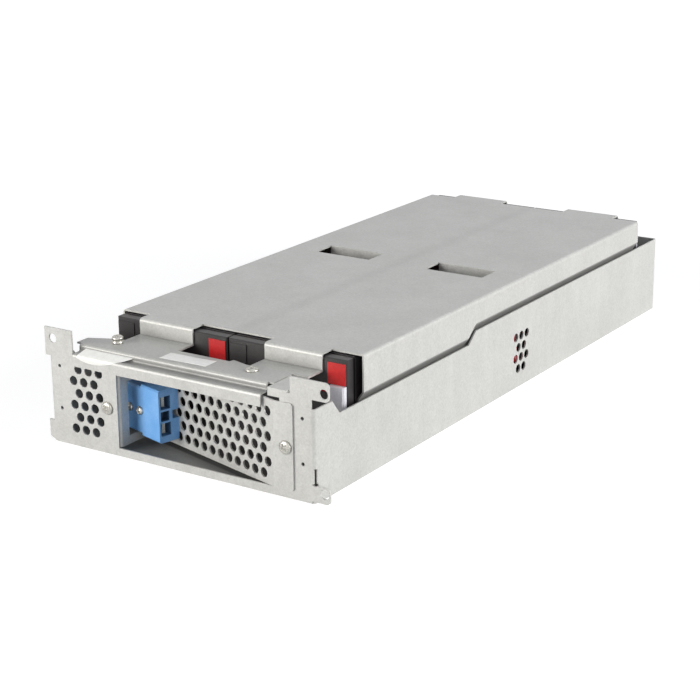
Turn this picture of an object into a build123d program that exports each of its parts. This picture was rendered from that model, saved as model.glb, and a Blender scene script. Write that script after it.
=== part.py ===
"""Battery cartridge for a rack UPS: folded tray, notched cover, eight sealed blocks and a power connector.

The pieces are drawn from the front face: X to the right, Y back into the cartridge, Z up from the
underside of the floor. The last lines move them so that the origin is the middle of the floor.
"""
from build123d import *
import math
import os

# Sheet metal
sheet = 1.2
bend = 1.2
seat_gap = 0.3

# Tray
tray_width = 216.0
tray_depth = 507.0
wall_front_height = 52.0
wall_rear_height = 60.0
wall_step_start = 191.0
wall_step_run = 10.0
nose_length = 20.0
nose_slope_run = 8.0
floor_lip_height = 5.5

# Front panel, flange, ears and tabs of the tray
panel_width = 58.0
panel_side_drop = 0.5
panel_top_drop = 9.0
flange_width = 26.0
ear_rise = 10.0
ear_width = 18.0
ear_hole_drop = 7.5
ear_corner = 3.0
right_ear_reach = 11.0
left_ear_reach = 3.0
right_ear_length = 12.5
left_ear_length = 20.0
ear_hole_diameter = 6.5
left_ear_hole_inset = 4.0
right_ear_hole_inset = 4.0
foot_tab_height = 13.0
foot_tab_gap = 0.5
foot_tab_lift = 1.5
foot_hole_height = 8.0
left_foot_height = 15.0
left_foot_chamfer = 3.0
relief_slot_height = 10.0
relief_slot_width = 1.5
ledge_length = 15.0
ledge_depth = 24.0
ledge_gap = 1.0
ledge_arm_drop = 5.5
ledge_relief_diameter = 2.6
pin_hole_diameter = 2.4
pin_hole_inset = 9.0
pin_hole_heights = (25.0, 55.0)

# Perforations, one staggered pattern in the panel and in the slanted wall
hole_diameter = 6.5
hole_pitch = 8.9
row_pitch = 8.45
first_row_height = 12.7
row_count = 6
panel_columns = 3
panel_first_inset = 20.7
grille_end_margin = 6.0
hole_sides = 10

# Side vents
vent_bay_inset = 12.1
vent_pitch = 8.3
vent_heights = (38.8, 30.5, 22.4, 14.2)
vent_columns = 3

# Connector bracket
recess_left_gap = 1.0
recess_depth = 34.0
recess_right_inset = 30.0
bracket_flange_inset = 15.7
bracket_flange_corner = 2.0
bracket_tongue = 14.0
bracket_top_drop = 7.5
cutout_start = 10.0
cutout_bottom = 11.5
cutout_top_drop = 13.5
cutout_wrap = 2.5
lug_width = 18.0
left_lug_length = 24.0
right_lug_length = 19.5
right_lug_inner_reach = 31.0
right_lug_outer_reach = 6.0
right_lug_set_back = 5.0
right_riser_gap = 2.5

# Cover
duct_width = 19.0
cover_height = 82.3
cover_start = 56.0
cover_rear_inset = 38.0
cover_corner = 2.4
front_tab_y = 44.5
front_tab_height = 11.3
rear_tab_inset = 25.0
tab_outer_gap = 3.4
tab_inner_gap = 15.6
rear_tab_drop = 12.0
joggle_height = 5.0
joggle_inset = 3.8
joggle_bend = 3.0
flange_bend_run = 4.0
tuck_length = 6.0
window_bay_inset = 5.6
window_length = 22.0
window_extra = 3.5
window_shift = 3.25

# Shelf and lip at the front of the cover
shelf_left_inset = 18.0
shelf_right_inset = 36.0
shelf_front_y = 6.2
shelf_notch_y = 28.5
shelf_corner_length = 20.0
shelf_corner_depth = 9.0
step_height = 5.0
lip_height = 8.8
lip_left_inset = 22.0
lip_right_inset = 40.0

# Sealed blocks
block_side_gap = 1.5
block_top_gap = 0.7
column_gap = 0.4
right_block_margin = 5.5
first_lid_y = 46.0
pair_gap = 0.4
middle_bay = 29.6
rear_bay = 26.6
lid_inset = 0.4
lid_depth = 7.0
lid_edge = 0.8
seam_width = 1.5
seam_inset = 1.2
seal_width = 13.6
seal_height = 14.4
seal_side_margin = 1.1
seal_top_margin = 2.8
seal_seat = 1.0
seal_proud = 0.6
blade_thickness = 0.8
blade_width = 6.3
blade_length = 3.0

# Terminal sleeves
sleeve_width = 11.5
sleeve_shift = 1.4
sleeve_thickness = 3.8
sleeve_height = 17.0
sleeve_drop = 0.3
sleeve_edge = 1.0
blade_clearance = 0.2

# Power connector
housing_width = 36.5
housing_rear_width = 33.0
housing_thickness = 16.0
housing_length = 47.5
housing_mating_length = 20.0
housing_face = 32.5
housing_height = 29.2
housing_edge = 1.0
port_pitch = 18.4
port_height = 9.0
port_width = 8.0
port_depth = 18.0
port_wall = 1.4
contact_thickness = 2.4
contact_width = 7.0
contact_setback = 3.0
barrel_diameter = 6.0
barrel_clearance = 0.2
rear_slot_width = 6.0
rear_slot_depth = 6.0

# Fasteners
screw_head_diameter = 9.0
screw_sides = 12
screw_crown = 1.0
screw_head_height = 2.2
screw_shank_diameter = 4.0
screw_clearance = 0.15
screw_tail = 2.5
small_head_diameter = 6.0
small_shank_diameter = 3.0
left_front_screw_inset = 49.5
left_front_screw_height = 32.4
right_front_screw_inset = 21.3
right_front_screw_height = 34.3
left_shelf_screw_inset = 43.0
right_shelf_screw_inset = 62.0
shelf_screw_y = 21.0
connector_screw_places = (11.5, 0.0)

# Leads
lead_diameter = 3.4
lead_bend = 10.2
lead_sides = 6
bend_share = 0.45
low_run_height = 20.0
duct_lead_inset = 12.0
turn_inset = 24.0
wall_lead_inset = 4.0
wall_clear_y = 38.5
hang_shift = 5.7
sleeve_exit_gap = 0.8
high_run_lead_in = 20.0
high_run_lead_out = 12.0

# Values that follow from the sizes above
half_width = tray_width / 2
left_ear_inner = -half_width + ear_width + left_ear_reach
right_ear_inner = half_width - ear_width
panel_inner_x = panel_width - half_width
panel_first_x = panel_first_inset - half_width
flange_inner_x = half_width - flange_width
cover_right_x = half_width
cover_left_x = duct_width - half_width
cover_center_x = (cover_left_x + cover_right_x) / 2
cover_end = tray_depth - cover_rear_inset
rear_tab_y = tray_depth - rear_tab_inset
flange_front_height = wall_front_height + joggle_height
wall_step_rise = wall_rear_height - wall_front_height
shelf_height = cover_height - front_tab_height
shelf_under = shelf_height - sheet
shelf_left_x = shelf_left_inset - half_width
shelf_right_x = half_width - shelf_right_inset
step_level = shelf_height - step_height
bracket_top = shelf_height - bracket_top_drop
nose_height = shelf_height - panel_top_drop
ear_height = shelf_height + ear_rise
ear_hole_height = ear_height - ear_hole_drop
left_ear_hole_x = left_ear_hole_inset - half_width
right_ear_hole_x = half_width + right_ear_reach - right_ear_hole_inset
recess_left_x = panel_inner_x + recess_left_gap
recess_right_x = half_width - recess_right_inset
bracket_flange_right_x = half_width - bracket_flange_inset
left_front_screw = (left_front_screw_inset - half_width, left_front_screw_height)
right_front_screw = (half_width - right_front_screw_inset, right_front_screw_height)
left_shelf_screw = (left_shelf_screw_inset - half_width, shelf_screw_y)
right_shelf_screw = (half_width - right_shelf_screw_inset, shelf_screw_y)
block_left_limit = cover_left_x + sheet + block_side_gap
block_right_limit = half_width - right_block_margin
block_width = (block_right_limit - block_left_limit - column_gap) / 2
right_block_x = block_right_limit - block_width / 2
left_block_x = block_left_limit + block_width / 2
block_floor = sheet
block_height = cover_height - sheet - block_floor - block_top_gap
block_length = (tray_depth - rear_bay - first_lid_y - middle_bay) / 4 - pair_gap / 2
second_lid_y = first_lid_y + 2 * block_length + pair_gap
third_lid_y = second_lid_y + middle_bay
fourth_lid_y = third_lid_y + 2 * block_length + pair_gap
terminal_offset = block_width / 2 - lid_inset - seal_side_margin - seal_width / 2
sleeve_offset = terminal_offset + sleeve_shift
tab_width = 2 * terminal_offset - seal_width - tab_outer_gap - tab_inner_gap
tab_outer_x = right_block_x + terminal_offset - seal_width / 2 - tab_outer_gap
tab_center_offset = tab_outer_x - tab_width / 2 - cover_center_x
window_width = tab_width + window_extra
window_center_offset = tab_center_offset - window_shift
seal_top = block_height - lid_inset - seal_top_margin
sleeve_top = seal_top - seal_height - sleeve_drop
window_start = second_lid_y + window_bay_inset
vent_start = second_lid_y + vent_bay_inset
duct_x = duct_lead_inset - half_width
bracket_bottom = floor_lip_height + seat_gap
grille_left = (recess_left_x - sheet / 2, recess_depth)
grille_right = (recess_right_x, -sheet / 2)
grille_run = math.dist(grille_left, grille_right)
grille_angle = math.degrees(math.atan2(grille_right[1] - grille_left[1], grille_right[0] - grille_left[0]))
grille_frame = Pos(grille_left[0], grille_left[1], 0) * Rot(0, 0, grille_angle)
grille_hole_room = grille_run - grille_end_margin - hole_pitch / 2 - housing_face
grille_columns = int(grille_hole_room / hole_pitch) + 1
housing_back_y = -sheet / 2
housing_front_y = housing_back_y - housing_thickness


def block(x_range, y_range, z_range):
    """A box between two values on each axis."""
    size = [high - low for low, high in (x_range, y_range, z_range)]
    corner = Pos(x_range[0], y_range[0], z_range[0])
    return corner * Box(*size, align=(Align.MIN, Align.MIN, Align.MIN))


def front_plate(points, y_start, thickness):
    """A sheet that faces the front: an outline in X and Z, given its thickness along Y."""
    outline = make_face(Polyline(*[(x, y_start, z) for x, z in points], close=True))
    return extrude(outline, amount=thickness, dir=(0, 1, 0))


def side_plate(points, x_start, thickness):
    """A sheet that faces the side: an outline in Y and Z, given its thickness along X."""
    outline = make_face(Polyline(*[(x_start, y, z) for y, z in points], close=True))
    return extrude(outline, amount=thickness, dir=(1, 0, 0))


def flat_plate(points, z_start, thickness):
    """A level sheet: an outline in X and Y, given its thickness along Z."""
    outline = make_face(Polyline(*[(x, y, z_start) for x, y in points], close=True))
    return extrude(outline, amount=thickness, dir=(0, 0, 1))


def folded_wall(points, z_start, height):
    """A sheet folded along upright lines: its middle line in X and Y, with rounded folds."""
    middle_line = FilletPolyline(*points, radius=bend + sheet / 2)
    return Pos(0, 0, z_start) * extrude(trace(middle_line, sheet), amount=height)


def punch(diameter, length):
    """A many-sided punch along Z, its middle at the origin, that clears a circle of the diameter."""
    return extrude(RegularPolygon(diameter / 2, hole_sides, major_radius=False), amount=length / 2, both=True)


def facing_front(cutter, x, z):
    """A cutter or fastener made along Z, turned to lie along Y at a place on the front."""
    return Pos(x, 0, z) * Rot(90, 0, 0) * cutter


def screw(head_diameter, shank_diameter, shank_length):
    """A pan-head screw, its head seated on Z = 0 and its shank going down."""
    rim = RegularPolygon(head_diameter / 2, screw_sides)
    head = extrude(rim, amount=screw_head_height)
    head = chamfer(head.edges().group_by(Axis.Z)[-1], screw_crown)
    shank = extrude(RegularPolygon(shank_diameter / 2, hole_sides), amount=-shank_length)
    return head + shank


def wall_profile():
    """Side view of the walls: a nose at the front, a low stretch and a slanted step up to the rear."""
    nose_end = nose_length + nose_slope_run
    step_end = wall_step_start + wall_step_run
    return [
        (0, 0),
        (0, nose_height),
        (nose_length, nose_height),
        (nose_end, wall_front_height),
        (wall_step_start, wall_front_height),
        (step_end, wall_rear_height),
        (tray_depth, wall_rear_height),
        (tray_depth, 0),
    ]


def tray_walls():
    """Walls folded round the tray, from the front panel to the front flange, cut to the side view."""
    x = half_width - sheet / 2
    near = sheet / 2
    far = tray_depth - sheet / 2
    route = [(panel_inner_x, near), (-x, near), (-x, far), (x, far), (x, near), (flange_inner_x, near)]
    walls = folded_wall(route, 0, nose_height)
    return walls & side_plate(wall_profile(), -half_width, tray_width)


def tray_front():
    """Flat parts of the tray's front: panel, flange, floor lip, ears, foot tabs and the ledge."""
    fold = bend + sheet
    left = -half_width
    right = half_width
    left_ear_bottom = ear_height - left_ear_length
    right_ear_bottom = ear_height - right_ear_length
    panel_side_height = shelf_height - panel_side_drop
    panel = front_plate(
        [
            (left + fold, 0),
            (panel_inner_x, 0),
            (panel_inner_x, nose_height),
            (left_ear_inner, nose_height),
            (left_ear_inner, panel_side_height),
            (left + fold, panel_side_height),
        ],
        0, sheet,
    )
    left_ear = block((left - left_ear_reach, left_ear_inner), (0, sheet), (left_ear_bottom, ear_height))
    left_foot = front_plate(
        [
            (left + fold, 0),
            (left + fold, left_foot_height),
            (left - left_ear_reach, left_foot_height),
            (left - left_ear_reach, left_foot_chamfer),
            (left - left_ear_reach + left_foot_chamfer * 2, 0),
        ],
        0, sheet,
    )
    lip = block((left + fold, right - fold), (0, sheet), (0, floor_lip_height))
    flange = block((flange_inner_x, right - fold), (0, sheet), (0, right_ear_bottom))
    right_ear = block((right_ear_inner, right + right_ear_reach), (0, sheet), (right_ear_bottom, ear_height))
    right_ear = fillet(right_ear.edges().filter_by(Axis.Y).group_by(Axis.X)[-1], ear_corner)
    foot = block(
        (right - fold, right + right_ear_reach), (0, sheet), (foot_tab_lift, foot_tab_height - foot_tab_gap),
    )
    foot = fillet(foot.edges().filter_by(Axis.Y).group_by(Axis.X)[-1], ear_corner)
    arm_left = shelf_right_x + ledge_gap
    arm = block((arm_left, right_ear_inner), (0, sheet), (shelf_height - ledge_arm_drop, shelf_height))
    ledge = block((arm_left, arm_left + ledge_length), (0, ledge_depth), (shelf_under, shelf_height))
    return panel + left_ear + left_foot + lip + flange + right_ear + foot + arm + ledge


def perforation_rows():
    """Height of each row and the sideways shift that staggers it."""
    rows = []
    for row in range(row_count):
        shift = hole_pitch / 2 if row % 2 else 0
        rows.append((first_row_height + row * row_pitch, shift))
    return rows


def tray_cutters():
    """Holes and reliefs of the tray."""
    reach = sheet * 4
    perforation = punch(hole_diameter, reach)
    cutters = []
    for z, shift in perforation_rows():
        for column in range(panel_columns):
            x = panel_first_x + shift + column * hole_pitch
            cutters.append(facing_front(perforation, x, z))
    for row, z in enumerate(vent_heights):
        staggered = row % 2
        for column in range(vent_columns - staggered):
            y = vent_start + (column + staggered / 2) * vent_pitch
            cutters.append(Pos(half_width, y, z) * Rot(0, 90, 0) * perforation)
    mounting_hole = Cylinder(ear_hole_diameter / 2, reach)
    cutters.append(facing_front(mounting_hole, left_ear_hole_x, ear_hole_height))
    cutters.append(facing_front(mounting_hole, right_ear_hole_x, ear_hole_height))
    cutters.append(facing_front(mounting_hole, right_ear_hole_x, foot_hole_height))
    for side in (-1, 1):
        for z in pin_hole_heights:
            x = side * (half_width - pin_hole_inset)
            cutters.append(facing_front(punch(pin_hole_diameter, reach), x, z))
    relief_x = right_ear_inner - ledge_relief_diameter / 2
    cutters.append(facing_front(punch(ledge_relief_diameter, reach), relief_x, shelf_height))
    slot_x = (half_width - relief_slot_width, half_width + 1)
    slot_z = (foot_tab_height - 1, foot_tab_height + relief_slot_height)
    cutters.append(block(slot_x, (-1, sheet + bend), slot_z))
    for x, z in (left_front_screw, right_front_screw):
        cutters.append(facing_front(screw_hole(reach), x, z))
    return cutters


def screw_hole(length):
    """A punch that clears a screw's shank."""
    return punch(screw_shank_diameter + 2 * screw_clearance, length)


def tray():
    """The folded tray as one sheet."""
    fold = bend + sheet
    half_sheet = sheet / 2
    floor_x = (half_sheet - half_width, half_width - half_sheet)
    floor = block(floor_x, (half_sheet, tray_depth - half_sheet), (0, sheet))
    walls = tray_walls()
    for side, height in ((1, foot_tab_height), (-1, left_foot_height)):
        x_range = sorted((side * (half_width - fold), side * (half_width + 1)))
        walls = walls - block(x_range, (-1, fold + 1), (-1, height))
    return walls + tray_front() + floor - tray_cutters()


def bracket_lugs():
    """Lugs folded level at the bracket's top, which carry the cover's shelf."""
    left_y = left_shelf_screw[1]
    left_range = (left_y - lug_width / 2, left_y + lug_width / 2)
    wall_x = (recess_left_x - sheet, recess_left_x)
    left_riser = block(wall_x, left_range, (bracket_top - 1, shelf_under))
    lug_z = (shelf_under - sheet, shelf_under)
    left_lug = block((recess_left_x - left_lug_length, recess_left_x), left_range, lug_z)
    along = (right_shelf_screw[0] - grille_left[0]) / math.cos(math.radians(grille_angle))
    riser_range = (along - right_lug_inner_reach, along - right_riser_gap)
    lug_range = (along - right_lug_inner_reach, along + right_lug_outer_reach)
    half_sheet = sheet / 2
    right_riser = block(riser_range, (-half_sheet, half_sheet), (bracket_top - 1, shelf_under))
    right_neck = block(riser_range, (-half_sheet, right_lug_length), lug_z)
    right_lug = block(lug_range, (right_lug_set_back, right_lug_length), lug_z)
    return left_riser + left_lug + grille_frame * (right_riser + right_neck + right_lug)


def grille_cutters():
    """Perforations of the slanted wall, square to it, counted from its front end."""
    perforation = Rot(90, 0, 0) * punch(hole_diameter, 2 * sheet)
    cutters = []
    for z, shift in perforation_rows():
        for column in range(grille_columns):
            along = grille_run - grille_end_margin - (hole_pitch / 2 - shift) - column * hole_pitch
            cutters.append(grille_frame * Pos(along, 0, z) * perforation)
    return cutters


def connector_bracket():
    """The folded bracket: tongue behind the panel, recess wall, slanted grille and front flange."""
    tongue_y = sheet * 1.5
    route = [
        (recess_left_x - bracket_tongue, tongue_y),
        (recess_left_x - sheet / 2, tongue_y),
        grille_left,
        grille_right,
        (bracket_flange_right_x, -sheet / 2),
    ]
    body = folded_wall(route, bracket_bottom, bracket_top - bracket_bottom)
    corners = body.edges().filter_by(Axis.Y).group_by(Axis.X)[-1]
    body = fillet(corners, bracket_flange_corner)
    cutout_x = (recess_left_x - 2 * sheet, recess_left_x + cutout_wrap)
    cutters = [block(cutout_x, (cutout_start, recess_depth + 2 * sheet), (cutout_bottom, bracket_top - cutout_top_drop))]
    cutters.extend(grille_cutters())
    reach = 6 * sheet
    for x, z in (left_front_screw, right_front_screw):
        cutters.append(facing_front(screw_hole(reach), x, z))
    for x, y in (left_shelf_screw, right_shelf_screw):
        cutters.append(Pos(x, y, shelf_under) * screw_hole(reach))
    small_hole = punch(small_shank_diameter + 2 * screw_clearance, reach)
    for along in connector_screw_places:
        cutters.append(grille_frame * facing_front(small_hole, along, housing_height))
    return body + bracket_lugs() - cutters


def cover_flange_edge():
    """Lower edge of the cover's side flange, from front to rear, with the wall's slanted step."""
    step_end = wall_step_start + wall_step_run
    low = flange_front_height
    high = low + wall_step_rise
    return [(cover_start, low), (wall_step_start, low), (step_end, high), (cover_end, high)]


def cover_flange(x_start, lift):
    """A side flange: the sheet between the cover's top and the stepped lower edge, lifted by an amount."""
    edge = [(y, z + lift) for y, z in cover_flange_edge()]
    return side_plate(edge + [(cover_end, cover_height), (cover_start, cover_height)], x_start, sheet)


def cover_joggle():
    """Inward joggle below the right flange and the tuck inside the tray wall, run along the step."""
    outer = cover_right_x - sheet / 2
    inner = outer - joggle_inset
    low = -joggle_height
    middle_line = FilletPolyline(
        (outer, flange_bend_run), (outer, 0), (inner, low), (inner, low - tuck_length), radius=joggle_bend,
    )
    section = Plane.XZ * trace(middle_line, sheet)
    edge = cover_flange_edge()
    pieces = []
    for (y, z), (next_y, next_z) in zip(edge, edge[1:]):
        run = (0, next_y - y, next_z - z)
        pieces.append(extrude(Pos(0, y, z) * section, amount=math.hypot(*run), dir=run))
    return pieces[0] + pieces[1] + pieces[2]


def cover_tabs(y, drop_to):
    """Two upright tabs folded down from the top at y."""
    half = tab_width / 2
    tabs = []
    for side in (-1, 1):
        x = cover_center_x + side * tab_center_offset
        tabs.append(block((x - half, x + half), (y, y + sheet), (drop_to, cover_height)))
    return tabs


def cover_top():
    """The flat top with its corner notches and centre notches, and two windows."""
    top_range = (cover_height - sheet, cover_height)
    body = block((cover_left_x, cover_right_x), (cover_start, cover_end), top_range)
    half = tab_width / 2
    for side in (-1, 1):
        x = cover_center_x + side * tab_center_offset
        body += block((x - half, x + half), (front_tab_y, rear_tab_y), top_range)
    for side in (-1, 1):
        x = cover_center_x + side * window_center_offset
        window = (x - window_width / 2, x + window_width / 2)
        rear = window_start + window_length
        body -= block(window, (window_start, rear), (0, cover_height + 1))
        body += block(window, (rear - sheet, rear), (cover_height - window_length, cover_height))
    return body


def cover_shelf():
    """The shelf in front of the tabs, then a step down and the lip that hangs over the perforated front."""
    half = tab_width / 2
    tab_left = cover_center_x - tab_center_offset
    tab_right = cover_center_x + tab_center_offset
    back = front_tab_y + sheet
    fold_y = shelf_front_y + bend + sheet
    outline = [
        (shelf_left_x, fold_y),
        (shelf_right_x, fold_y),
        (shelf_right_x, shelf_notch_y),
        (tab_right + half, shelf_notch_y),
        (tab_right + half, back),
        (tab_right - half, back),
        (tab_right - half, shelf_notch_y),
        (tab_left + half, shelf_notch_y),
        (tab_left + half, back),
        (tab_left - half, back),
        (tab_left - half, shelf_notch_y),
        (shelf_left_x + shelf_corner_length, shelf_notch_y),
        (shelf_left_x, shelf_notch_y - shelf_corner_depth),
    ]
    shelf = flat_plate(outline, shelf_under, sheet)
    half_sheet = sheet / 2
    shelf_middle = shelf_height - half_sheet
    step_middle = step_level - half_sheet
    middle_line = FilletPolyline(
        (fold_y + bend, shelf_middle),
        (shelf_front_y + half_sheet, shelf_middle),
        (shelf_front_y + half_sheet, step_middle),
        (-half_sheet, step_middle),
        (-half_sheet, step_level - lip_height),
        radius=bend + half_sheet,
    )
    section = Plane.YZ * trace(middle_line, sheet)
    lip_left = lip_left_inset - half_width
    lip_right = half_width - lip_right_inset
    return shelf + Pos(lip_left, 0, 0) * extrude(section, amount=lip_right - lip_left, dir=(1, 0, 0))


def battery_cover():
    """The folded cover as one sheet."""
    body = cover_top() + cover_flange(cover_left_x, 0) + cover_flange(cover_right_x - sheet, flange_bend_run)
    ridges = body.edges().filter_by(Axis.Y).group_by(Axis.Z)[-1]
    long_ridges = [edge for edge in ridges if edge.length > cover_end - cover_start - 1]
    body = fillet(long_ridges, cover_corner)
    body += cover_tabs(front_tab_y, shelf_under)
    body += cover_tabs(rear_tab_y - sheet, cover_height - rear_tab_drop)
    crests = body.edges().filter_by(Axis.X).group_by(Axis.Z)[-1].sort_by(Axis.Y)
    body = fillet(crests[:2] + crests[-2:], cover_corner)
    body += [cover_joggle(), cover_shelf()]
    places = (left_shelf_screw, right_shelf_screw)
    return body - [Pos(x, y, shelf_height) * screw_hole(4 * sheet) for x, y in places]


def sealed_block():
    """One sealed block with its lid facing the front at y = 0, standing on Z = 0, middle at X = 0."""
    half = block_width / 2
    lid_x = (-half + lid_inset, half - lid_inset)
    lid_z = (lid_inset, block_height - lid_inset)
    lid = block(lid_x, (0, lid_depth), lid_z)
    lid = chamfer(lid.edges().group_by(Axis.Y)[0], lid_edge)
    neck_inset = lid_inset + seam_inset
    neck_x = (-half + neck_inset, half - neck_inset)
    neck_z = (neck_inset, block_height - neck_inset)
    neck = block(neck_x, (lid_depth, lid_depth + seam_width), neck_z)
    case = block((-half, half), (lid_depth + seam_width, block_length), (0, block_height))
    case = chamfer(case.edges().filter_by(Axis.Y), seam_inset)
    body = lid + neck + case
    seal_z = (seal_top - seal_height, seal_top)
    negative = block(seal_span(-1), (-seal_proud, seal_seat), seal_z)
    body = body + negative - block(seal_span(1), (-1, seal_seat), seal_z)
    blade_z = sleeve_top - sleeve_height / 2
    for side in (-1, 1):
        x = side * sleeve_offset
        blade_x = (x - blade_thickness / 2, x + blade_thickness / 2)
        body += block(blade_x, (-blade_length, 0), (blade_z - blade_width / 2, blade_z + blade_width / 2))
    return body


def seal_span(side):
    """Range in X of the terminal seal on one side of a lid."""
    x = side * terminal_offset
    return (x - seal_width / 2, x + seal_width / 2)


def positive_seal():
    """The red seal, set into its seat in the lid."""
    return block(seal_span(1), (-seal_proud, seal_seat), (seal_top - seal_height, seal_top))


def terminal_sleeve(side):
    """The insulated receptacle on one blade, against the lid and below the seal."""
    x = side * sleeve_offset
    x_range = (x - sleeve_width / 2, x + sleeve_width / 2)
    sleeve = block(x_range, (-sleeve_thickness, 0), (sleeve_top - sleeve_height, sleeve_top))
    sleeve = chamfer(sleeve.edges().filter_by(Axis.Z).group_by(Axis.Y)[0], sleeve_edge)
    z = sleeve_top - sleeve_height / 2
    half_thick = blade_thickness / 2 + blade_clearance
    half_wide = blade_width / 2 + blade_clearance
    pocket_x = (x - half_thick, x + half_thick)
    return sleeve - block(pocket_x, (-blade_length - blade_clearance, 1), (z - half_wide, z + half_wide))


def connector_housing():
    """The two-pole housing in the grille's frame: a wide mating end, a narrower rear and two ports."""
    face = housing_face
    rear = face - housing_length
    step = face - housing_mating_length
    half_wide = housing_width / 2
    half_rear = housing_rear_width / 2
    depth = (housing_front_y, housing_back_y)
    center = housing_height
    mating = block((step, face), depth, (center - half_wide, center + half_wide))
    mating = chamfer(mating.edges().filter_by(Axis.X), housing_edge)
    tail = block((rear, step), depth, (center - half_rear, center + half_rear))
    tail = chamfer(tail.edges().filter_by(Axis.X), housing_edge)
    body = mating + tail
    cutters = [
        block(
            (rear - 1, rear + rear_slot_depth), (depth[0] - 1, depth[1] + 1),
            (center - rear_slot_width / 2, center + rear_slot_width / 2),
        )
    ]
    for z in port_heights():
        port_y = (housing_front_y + port_wall, housing_front_y + port_wall + port_width)
        port_z = (z - port_height / 2, z + port_height / 2)
        cutters.append(block((face - port_depth, face + 1), port_y, port_z))
        bore = Rot(0, 90, 0) * punch(barrel_diameter + 2 * barrel_clearance, housing_length - port_depth + 2)
        cutters.append(Pos((rear + face - port_depth) / 2, port_middle_y(), z) * bore)
    drill = punch(small_shank_diameter + 2 * screw_clearance, 3 * housing_thickness)
    for along in connector_screw_places:
        cutters.append(facing_front(drill, along, center))
    return grille_frame * (body - cutters)


def port_heights():
    """Heights of the negative and positive ports."""
    return (housing_height - port_pitch / 2, housing_height + port_pitch / 2)


def port_middle_y():
    """Middle of the ports across the housing, in the grille's frame."""
    return housing_front_y + port_wall + port_width / 2


def connector_contact(z):
    """A contact: a flat tongue in the port and a crimp barrel in the rear bore."""
    barrel_start = housing_face - housing_length + rear_slot_depth / 2
    barrel_end = housing_face - port_depth + 2
    tongue_end = housing_face - contact_setback
    profile = RegularPolygon(barrel_diameter / 2, hole_sides)
    barrel = extrude(profile, amount=barrel_end - barrel_start)
    barrel = Pos(barrel_start, port_middle_y(), z) * Rot(0, 90, 0) * barrel
    half_thick = contact_thickness / 2
    tongue_y = (port_middle_y() - half_thick, port_middle_y() + half_thick)
    tongue = block((barrel_end - 1, tongue_end), tongue_y, (z - contact_width / 2, z + contact_width / 2))
    return grille_frame * (barrel + tongue)


def lead_along(points):
    """A lead along a route of straight runs and round bends, each as wide as its runs leave room for."""
    route = FilletPolyline(*points, radius=bend_radii(points)) if len(points) > 2 else Line(*points)
    start = Plane(route @ 0, z_dir=route % 0)
    return sweep(start * RegularPolygon(lead_diameter / 2, lead_sides), path=route)


def bend_radii(points):
    """Radius at each corner of a route: the lead's own bend, or less between short runs."""
    corners = [Vector(*point) for point in points]
    radii = []
    for before, corner, after in zip(corners, corners[1:], corners[2:]):
        arriving = corner - before
        leaving = after - corner
        half_turn = math.radians(arriving.get_angle(leaving)) / 2
        room = bend_share * min(arriving.length, leaving.length) / math.tan(half_turn)
        radii.append(min(lead_bend, room))
    return radii


def sleeve_x(column_x, side):
    """Middle of a sleeve: side is -1 for the one on the left and 1 for the one on the right."""
    return column_x + side * sleeve_offset


def contact_rear(z):
    """Point where a lead leaves its contact's barrel."""
    start = housing_face - housing_length + rear_slot_depth / 2
    place = grille_frame * Pos(start, port_middle_y(), z)
    return tuple(place.position)


def beyond_contact(z, x):
    """Point on the line of the contact's axis at a given x."""
    rear = contact_rear(z)
    slope = math.tan(math.radians(grille_angle))
    return (x, rear[1] + (x - rear[0]) * slope, z)


def lead_routes():
    """Points of every lead, by name, chosen for the free spaces round the blocks."""
    half_sleeve = sleeve_width / 2
    half_thick = sleeve_thickness / 2
    front_y = first_lid_y - half_thick
    second_y = second_lid_y + half_thick
    third_y = third_lid_y - half_thick
    fourth_y = fourth_lid_y + half_thick
    z = block_floor + sleeve_top - sleeve_height / 2
    left_minus = sleeve_x(left_block_x, -1) - half_sleeve
    inner_left = sleeve_x(left_block_x, 1) + half_sleeve
    inner_right = sleeve_x(right_block_x, -1) - half_sleeve
    outer_right = sleeve_x(right_block_x, 1)
    sleeve_bottom = block_floor + sleeve_top - sleeve_height
    high_run_height = block_floor + sleeve_top - lead_diameter
    low_z, high_z = port_heights()
    turn_x = turn_inset - half_width
    wall_side_x = half_width - wall_lead_inset
    return {
        "jumper_front": [(inner_left, front_y, z), (inner_right, front_y, z)],
        "jumper_second": [(inner_left, second_y, z), (inner_right, second_y, z)],
        "jumper_third": [(inner_left, third_y, z), (inner_right, third_y, z)],
        "jumper_rear": [(inner_left, fourth_y, z), (inner_right, fourth_y, z)],
        "jumper_middle": [
            (outer_right, second_y, sleeve_bottom - sleeve_exit_gap),
            (wall_side_x, second_y + hang_shift, low_run_height),
            (wall_side_x, third_y - hang_shift, low_run_height),
            (outer_right, third_y, sleeve_bottom - sleeve_exit_gap),
        ],
        "jumper_duct_front": [
            (left_minus, front_y, z), (duct_x, front_y, z), (duct_x, second_y, z), (left_minus, second_y, z),
        ],
        "jumper_duct_rear": [
            (left_minus, third_y, z), (duct_x, third_y, z), (duct_x, fourth_y, z), (left_minus, fourth_y, z),
        ],
        "positive_lead": [
            contact_rear(high_z),
            beyond_contact(high_z, turn_x),
            beyond_contact(high_z, turn_x)[:2] + (high_run_height,),
            (recess_left_x, wall_clear_y, high_run_height),
            (inner_right + high_run_lead_in, wall_clear_y, high_run_height),
            (outer_right - half_sleeve - high_run_lead_out, front_y, high_run_height),
            (outer_right - half_sleeve, front_y, high_run_height),
        ],
        "negative_lead": [
            (outer_right, fourth_y, sleeve_bottom),
            (outer_right, fourth_y, low_run_height),
            (duct_x, fourth_y, low_run_height),
            beyond_contact(low_z, duct_x),
            contact_rear(low_z),
        ],
    }


def seated_screws(places, head_diameter, shank_diameter, shank_length):
    """A group of equal screws, each at its place."""
    return Compound([place * screw(head_diameter, shank_diameter, shank_length) for place in places])


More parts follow.
